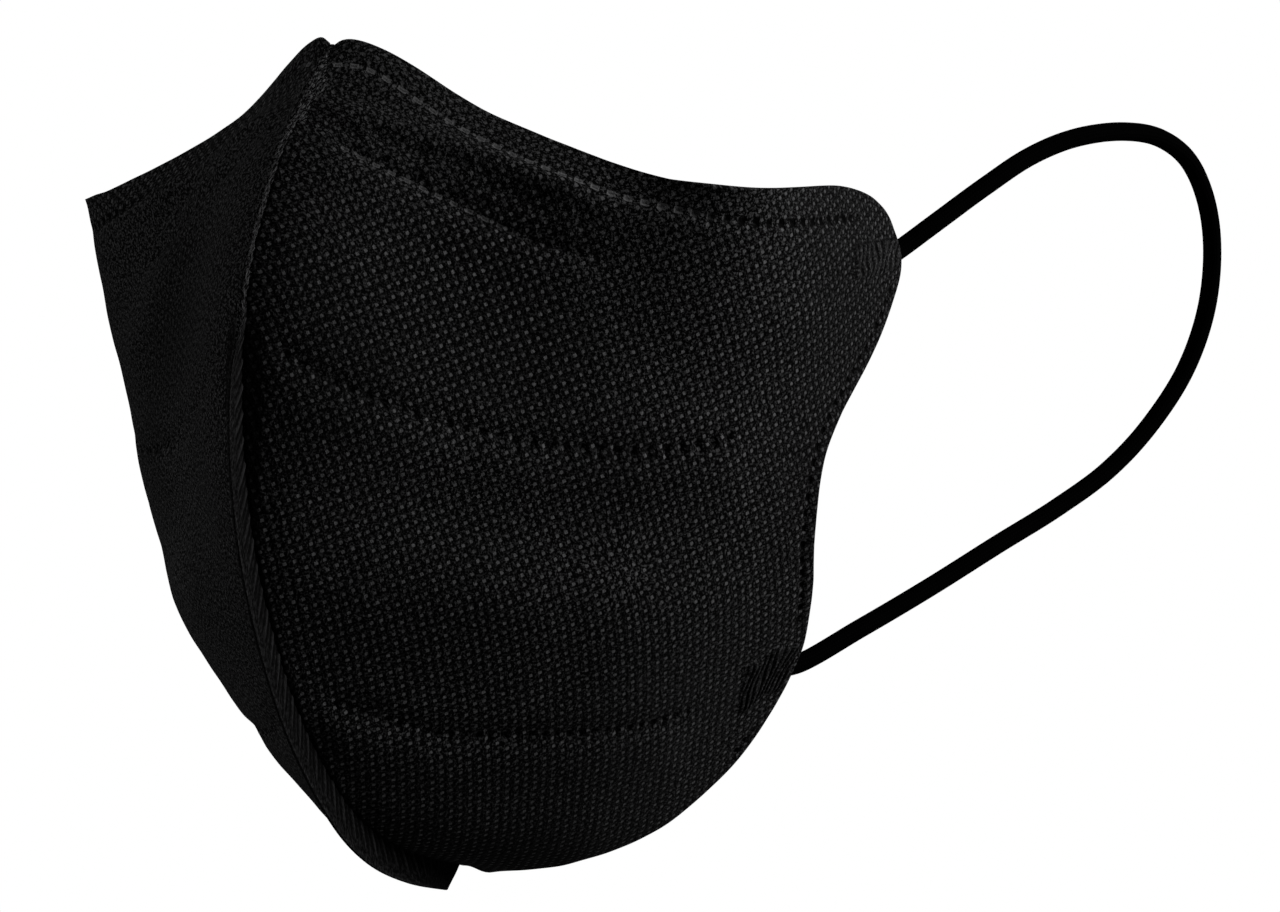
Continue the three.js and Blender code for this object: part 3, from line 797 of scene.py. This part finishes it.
black_cloth = cloth_finish("bonded black cloth", 0.006)
panel_u, panel_v = panel_grid()
panel_bare = smooth_cloth(panel_u, panel_v)
panel_out = cloth_normal(panel_u, panel_v)
panel_lines = {name: beside(panel_bare, places) for name, places in LINES.items()}
panel_lines["pleat"] = beside(panel_bare, PLEAT)
panel_places = flat_places(panel_u, panel_v)
panel_outer = {}
for name, side in (("left", 1), ("right", -1)):
    relief = cloth_relief(panel_u, panel_v, panel_bare, panel_lines, side)
    outer = panel_bare + relief[..., None] * panel_out
    outer[..., 2] += nose_hump(panel_v, panel_bare, side) - corner_ease(panel_bare)
    outer[:, 0, 0] = GAP_TO_SEAM
    inner = (outer - CLOTH * panel_out)[::2, ::2]
    inner[..., 0] = np.maximum(inner[..., 0], GAP_TO_SEAM)
    points = np.concatenate([outer.reshape(-1, 3), inner.reshape(-1, 3)])
    panel = new_piece(f"{name}_cloth_panel", points, panel_faces(*panel_u.shape), side)
    set_uv(panel, both_faces(panel_places))
    for line_name in WELDS:
        along, below, length = panel_lines[line_name]
        on = smoothstep(along, 0, 2) * (1 - smoothstep(along, length - 5, length))
        if line_name == "rim":
            below = below * (1 + (WIDER - 1) * smoothstep(along, *BAR_SPREAD))
        set_attribute(panel, line_name + "_weld", both_faces(
            np.stack([along, below, on], axis=-1)))
    along, below, length = panel_lines["ear edge"]
    on = smoothstep(along, 3, 4) * (1 - smoothstep(along, length - 6, length))
    on *= off_lower_weld(panel_v)
    narrower = WIDER + (1 - WIDER) * EAR_NARROWER * smoothstep(panel_v, *EAR_NARROWS)
    set_attribute(panel, "ear_weld", both_faces(
        np.stack([along, (np.abs(below) - EAR_WELD) * narrower, on], axis=-1)))
    face, painted_shade = face_places(panel_v, panel_bare, side)
    # Where the glossy dashes' painted highlight shows, and, third, the painted shade of each
    # place.
    painted_glint_and_shade = np.zeros((*panel_u.shape, 3))
    painted_glint_and_shade[..., 2] = painted_shade
    for k, (line_name, row) in enumerate(GLINT_BARS.items()):
        along = panel_lines[line_name][0]
        fade = row[:2] if side > 0 else RIGHT_GLINT_FADES
        painted_glint_and_shade[..., k] = smoothstep(along, 0, 2) * (1 - smoothstep(along, *fade))
    set_attribute(panel, "painted_glint_and_shade", both_faces(painted_glint_and_shade))
    set_attribute(panel, "face", both_faces(face))
    panel.data.materials.append(black_cloth)
    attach(panel, "root")
    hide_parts(f"panel_{name}")
    panel_outer[side] = outer


# ---- Welded fin: both panels' seam allowances pressed into one strip that stands out of the
# seam from above the mouth down to the chin, with slanting ribs from the welding wheel.
FIN_HALF = 0.5
FIN_TIP_HALF = 0.3
FIN_THINS = (0.4, 1)     # it thins between these shares of the way out
FIN_ROOT = 1.5
RIB_PITCH = 2.1
RIB_HEIGHT = 0.2
RIB_TOPS = (0.84, 0.94)  # the ribs end between these shares of the way out, and their painted highlight and the shade painted between them fade between these
RIB_GREYS = (0.62, 0.9)
RIB_LEAD = 7.0           # how far a rib's tip is ahead of its root
RIB_FAN = 0.7            # how far the ribs of one bunch spread towards the root
TAIL_PITCH = 1.0         # the finer pits of the tail
BUNCH_PITCH = 4.2        # the ribs come in bunches, one for each tooth of the wheel
BUNCH_LEAST = 0.25       # how high they still are between two bunches
FIN_TAIL = 24            # the stretch at the chin that has no ribs
TAIL_CUT = 5             # how far its slanting end is cut back at the tip
FIN_EDGE = (0.88, 1)     # the smooth edge beyond the ribs, painted lighter as a highlight
# How far the fin's faces are painted black, which leaves the outer edge as the painted highlight,
# and how much more black the chin's tail gets as painted shade.
FIN_BLACK = 0.62
TAIL_BLACKER = 0.12
# Above the fin the seam is a soft fused fold. How proud it stands, at how far below the nose.
FOLD_STANDS = [(0, 0), (5, 0.4), (14, 0.48), (28, 0.55), (45, 0.7), (74, 0.7)]
FOLD_EDGE = 0.35
FOLD_STEEP = 0.75        # how much narrower its sides close than the panels beside it
FOLD_END = (50, 60)      # the stretch below the nose over which the fold turns into the fin
FOLD_LUMPS = (0.28, 0.9)   # height and size of the fold's unevenness
FIN_STEP = 0.17
FIN_ROWS = 12
FIN_RANDOM = 7


def seam_point(line, table, along, width):
    """A point of the middle plane that stands out of the seam by width."""
    at = np.clip(along, 0, table[-1])
    y, z = (np.interp(at, table, line[:, k]) for k in (0, 1))
    way_y, way_z = (np.interp(at, table, np.gradient(line[:, k], table)) for k in (0, 1))
    size = np.hypot(way_y, way_z)
    return np.stack([y + width * way_z / size, z - width * way_y / size], axis=-1)


def seam_fin():
    """The fin's points, faces and map, and its marks for the ribs and the face."""
    v = np.linspace(0, CHIN, 800)
    line = np.stack([section("seam_y", v), section("seam_z", v)], axis=1)
    table = lengths_along(line)
    length = table[-1]
    along = np.linspace(0, length, int(length / FIN_STEP) + 1)
    width = np.interp(along, table, section("fin_width", v))
    start = smoothstep(along, 0, RIB_LEAD * 3)
    tail = smoothstep(along, length - FIN_TAIL, length)
    lead = RIB_LEAD * start * (1 - tail) - TAIL_CUT * tail
    tip_width = np.interp(np.clip(along + lead, 0, length), along, width)
    folded = 1 - smoothstep(along, *FOLD_END)
    leave = np.radians(np.interp(along, table, section("leave_angle", v)))
    stand = np.interp(along, *np.array(FOLD_STANDS).T)
    tip_width = tip_width + (stand - tip_width) * folded
    root = seam_point(line, table, along, -FIN_ROOT)
    tip = seam_point(line, table, along + lead, tip_width)
    random = np.random.default_rng(FIN_RANDOM)
    bunch = along / BUNCH_PITCH
    strength = random.uniform(0.5, 1.0, int(bunch[-1]) + 2)[np.round(bunch).astype(int)]
    bunched = (BUNCH_LEAST + (1 - BUNCH_LEAST) * ripple(bunch)) * strength
    pits = tail * ripple(along, TAIL_PITCH) ** 2
    tall, wide = FOLD_LUMPS
    rings, raised, sunk = [], [], []
    for share in np.linspace(0, 1, FIN_ROWS + 1):
        fanned = along + RIB_FAN * (share - 0.6) * np.sin(2 * np.pi * bunch)
        rib = ripple(fanned, RIB_PITCH) ** 2 * bunched * (1 - tail)
        flat = root + (tip - root) * share
        half = FIN_HALF + (FIN_TIP_HALF - FIN_HALF) * smoothstep(share, *FIN_THINS)
        half = half + RIB_HEIGHT * rib * (1 - smoothstep(share, *RIB_TOPS)) * (1 - folded)
        roof = FOLD_EDGE + FOLD_STEEP * (1 - share) * (tip_width + FIN_ROOT) / np.tan(leave)
        half += folded * (roof - half)
        half += folded * share * np.array([
            tall * noise.noise(Vector((share * 2, *place)) / wide) for place in flat])
        rings.append((half, flat))
        # The outer edge and the rib crests are painted lighter as highlights, the gaps between the
        # ribs black as their shade, and the chin's tail blacker as shade.
        edge = smoothstep(share, *FIN_EDGE) * (1 - folded)
        rooted = 1 - smoothstep(share, *RIB_GREYS)
        raised.append(rib * rooted * (1 - folded) + edge * 0.15)
        gaps = (1 - np.minimum(rib * 1.8, 1)) * rooted * (1 - tail)
        plain = FIN_BLACK * (1 - edge * (1 - tail)) + TAIL_BLACKER * tail
        sunk.append((1 - folded) * np.maximum(np.maximum(gaps, plain), pits * rooted))
    near = [np.stack([half, *flat.T], axis=-1) for half, flat in rings]
    far = [np.stack([-half, *flat.T], axis=-1) for half, flat in rings]
    cap = tip + (tip - root) * 0.02
    crown = [np.stack([np.full(len(along), x * FIN_TIP_HALF), *cap.T], axis=-1)
             for x in (0.6, -0.6)]
    around = near + crown + far[::-1]
    points = np.stack(around, axis=1)
    faces = ring_faces(*points.shape[:2])
    outward = np.linspace(0, 1, points.shape[1]) * (FIN_ROOT + 5) * 2
    places = np.stack(np.broadcast_arrays(along[:, None], outward), axis=-1)
    raised, sunk = (np.stack(marks + marks[-1:] * 2 + marks[::-1], axis=1)
                    for marks in (raised, sunk))
    ribs = np.stack([raised, sunk, 0 * raised], axis=-1)
    clear = np.broadcast_to((folded * (0.8 - 0.5 * smoothstep(along, 10, 20)))[:, None],
                            raised.shape)
    loose = np.broadcast_to((0.4 + 1.8 * folded)[:, None], raised.shape)
    face = np.stack([loose, clear, 0 * raised], axis=-1)
    return (points.reshape(-1, 3), faces, places.reshape(-1, 2), ribs.reshape(-1, 3),
            face.reshape(-1, 3))


pressed_weld = cloth_finish("pressed weld", 0)
fin_points, fin_faces, fin_places, fin_ribs, fin_face = seam_fin()
fin = new_piece("welded_seam_fin", fin_points, fin_faces)
set_uv(fin, fin_places)
set_attribute(fin, "ribs", fin_ribs)
set_attribute(fin, "face", fin_face)
fin.data.materials.append(pressed_weld)
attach(fin, "root")
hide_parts("seam_fin")


# ---- Loop welds: where an elastic's end is welded on behind, the die leaves a ribbed patch on
# the cloth's outer face, upright ribs towards the seam and slanting ones towards the ear.
PATCH_COLUMNS = (
    "level", "from_u", "to_u", "lean", "from_v", "to_v", "taper", "rise", "soft", "ribs",
    "slant", "fan", "frame")
PATCHES = [
    ("upper", 0.852, 0.998, 0, 2.2, 3.2, 0.2, 0, 0.12, 10, 0.5, 3, 0.9),
    ("lower", 0.81, 0.99, 0.055, 7.78, 8.53, 0, 0.18, 0.3, 11, 1.2, 1.8, 0),
]
PATCH_ACROSS = 120
PATCH_DOWN = 36
PATCH_STAND = 0.14       # how high a groove's floor stands off the cloth
PATCH_RIB = 0.26         # and a rib off that
PATCH_SOFT = 0.18        # the share of its height over which it sinks into the cloth around it
PATCH_SUNK = 0.1
PATCH_BACK = 0.6         # how far behind the cloth's face its back lies
PATCH_FANS = (0.45, 1)   # across this the ribs lean over, and across the next the patch rises
PATCH_RISES = (0.35, 0.65)
GROOVE_EDGE = (0.15, 0.65)
FRAME_ACROSS = (0.07, 0.035)     # the pressed line inside its border: where, how wide
FRAME_DOWN = (0.12, 0.05)


def on_panel(outer, u, v):
    """Places on a panel's finished outer face, between the points of its mesh."""
    row = np.interp(v, panel_v[:, 0], np.arange(len(outer)))
    column = np.interp(u, panel_u[0], np.arange(outer.shape[1]))
    r = np.minimum(row.astype(int), len(outer) - 2)
    c = np.minimum(column.astype(int), outer.shape[1] - 2)
    down, across = (row - r)[..., None], (column - c)[..., None]
    above = outer[r, c] * (1 - across) + outer[r, c + 1] * across
    under = outer[r + 1, c] * (1 - across) + outer[r + 1, c + 1] * across
    return above * (1 - down) + under * down


def loop_weld(patch, outer):
    """A patch's points, faces and map, and its marks for the ribs and the face."""
    c = np.linspace(0, 1, PATCH_ACROSS + 1)[None, :]
    r = np.linspace(0, 1, PATCH_DOWN + 1)[:, None]
    start = patch["from_u"] + patch["lean"] * r
    u = start + (patch["to_u"] - start) * c
    v = patch["from_v"] + (patch["to_v"] - patch["from_v"]) * r * (1 - patch["taper"] * c)
    v = v - patch["rise"] * smoothstep(c, *PATCH_RISES)
    bare, out = on_panel(outer, u, v), cloth_normal(u, v)
    slant = patch["slant"] + patch["fan"] * smoothstep(c, *PATCH_FANS)
    wander = 0.3 * np.sin(np.pi * r) + 0.22 * np.sin(9 * r + 11 * c)
    phase = c * patch["ribs"] + slant * (r - 0.5) + wander
    groove = smoothstep(1 - np.abs(np.cos(np.pi * phase)), *GROOVE_EDGE)
    # Ribs begin and end unevenly, and some are pressed harder than others.
    groove *= 0.55 + 0.45 * np.sin(2.2 * np.floor(phase + 0.5) + 2.6 * r) ** 2
    framed = patch["frame"] * np.maximum(
        hill(c - FRAME_ACROSS[0], FRAME_ACROSS[1]), hill(r - FRAME_DOWN[0], FRAME_DOWN[1]))
    groove = np.maximum(groove, framed)
    uneven = 0.03 * np.sin(23 * r + 3) + 0.02 * np.sin(61 * r)
    border = (smoothstep(c + uneven, 0.02, patch["soft"]) * smoothstep(1 - c, 0, 0.03)
              * smoothstep(r, 0, PATCH_SOFT) * smoothstep(1 - r, 0, PATCH_SOFT))
    stand = (PATCH_STAND + PATCH_RIB * (1 - groove)) * border - PATCH_SUNK * (1 - border)
    top = bare + stand[..., None] * out
    base = bare - PATCH_BACK * out
    rows, columns = u.shape
    points = np.concatenate([top.reshape(-1, 3), base.reshape(-1, 3)])
    front = np.arange(rows * columns).reshape(rows, columns)
    rear = front + rows * columns
    rim = np.concatenate([
        front[0, :-1], front[:-1, -1], front[-1, :0:-1], front[:0:-1, 0], front[0, :1]])
    faces = grid_faces(front) + grid_faces(rear.T) + grid_faces(
        np.stack([rim, rim + rows * columns]).T)
    # The grooves are painted black as their shade, and the ribs between them lighter as a painted
    # highlight.
    sunk = np.minimum(groove * 1.3, 1) * border + 0 * u
    ribs = np.stack([0.2 * (1 - sunk) * border, sunk, 0 * sunk], axis=-1).reshape(-1, 3)
    face = np.stack([1.1 + 0 * sunk, 1 - border + 0 * sunk, 0 * sunk], axis=-1).reshape(-1, 3)
    places = on_panel(panel_places, u, v).reshape(-1, 2)
    return points, faces, *(np.tile(values, (2, 1)) for values in (places, ribs, face))


for row in PATCHES:
    patch = dict(zip(PATCH_COLUMNS, row))
    for name, side in (("left", 1), ("right", -1)):
        patch_points, patch_faces, patch_places, patch_ribs, patch_face = loop_weld(
            patch, panel_outer[side])
        piece = new_piece(f"{name}_{patch['level']}_loop_weld", patch_points, patch_faces, side)
        set_uv(piece, patch_places)
        set_attribute(piece, "ribs", patch_ribs)
        set_attribute(piece, "face", patch_face)
        piece.data.materials.append(pressed_weld)
        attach(piece, "root")
        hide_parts(f"loop_weld_{patch['level']}_{name}")


# ---- The studio: a pale floor well below the held mask, a white surround, and soft lights.
FLOOR_DEPTH = 0.32
FLOOR_SIZE = 2.6
bpy.ops.object.select_all(action="DESELECT")
bpy.ops.mesh.primitive_plane_add(size=FLOOR_SIZE, location=(0, 0, -FLOOR_DEPTH))
floor = bpy.context.active_object
floor.name = "studio_floor"
floor_finish, floor_wire = new_finish("pale floor")
in_view = floor_wire.node("LightPath", output="Is Camera Ray")
set_shader(floor_wire, {
    "Base Color": blend(in_view, (0.1, 0.1, 0.1, 1), (0.86, 0.86, 0.86, 1)), "Roughness": 0.9})
floor.data.materials.append(floor_finish)

# Each light: its place and the point that it faces, in metres, its size and its strength.
LIGHTS = [
    ("ear side", (1.1, 0.62, 0.38), (0.03, 0.02, -0.06), 0.6, 29.5),
    ("far side", (-1.22, -0.4, 0.2), (0, 0.02, -0.06), 0.7, 6.6),
    ("above", (0.15, -0.7, 1.05), (0, 0.02, -0.06), 0.6, 0.8),
]
for name, place, target, size, power in LIGHTS:
    light_data = bpy.data.lights.new(name, "AREA")
    light_data.size = size
    light_data.energy = power
    light = bpy.data.objects.new(name, light_data)
    light.location = place
    facing = Vector(target) - Vector(place)
    light.rotation_euler = facing.to_track_quat("-Z", "Y").to_euler()
    bpy.context.collection.objects.link(light)

world = bpy.data.worlds.new("white surround")
bpy.context.scene.world = world
world.use_nodes = True
world.node_tree.nodes.clear()
air = Wire(world.node_tree)
seen = air.node("LightPath", output="Is Camera Ray")
surround = air.node("Background", {}, {"Color": (1, 1, 1, 1), "Strength": seen * 0.91 + 0.09})
air.node("OutputWorld", {}, {"Surface": surround})
bpy.context.scene.view_settings.view_transform = "Standard"
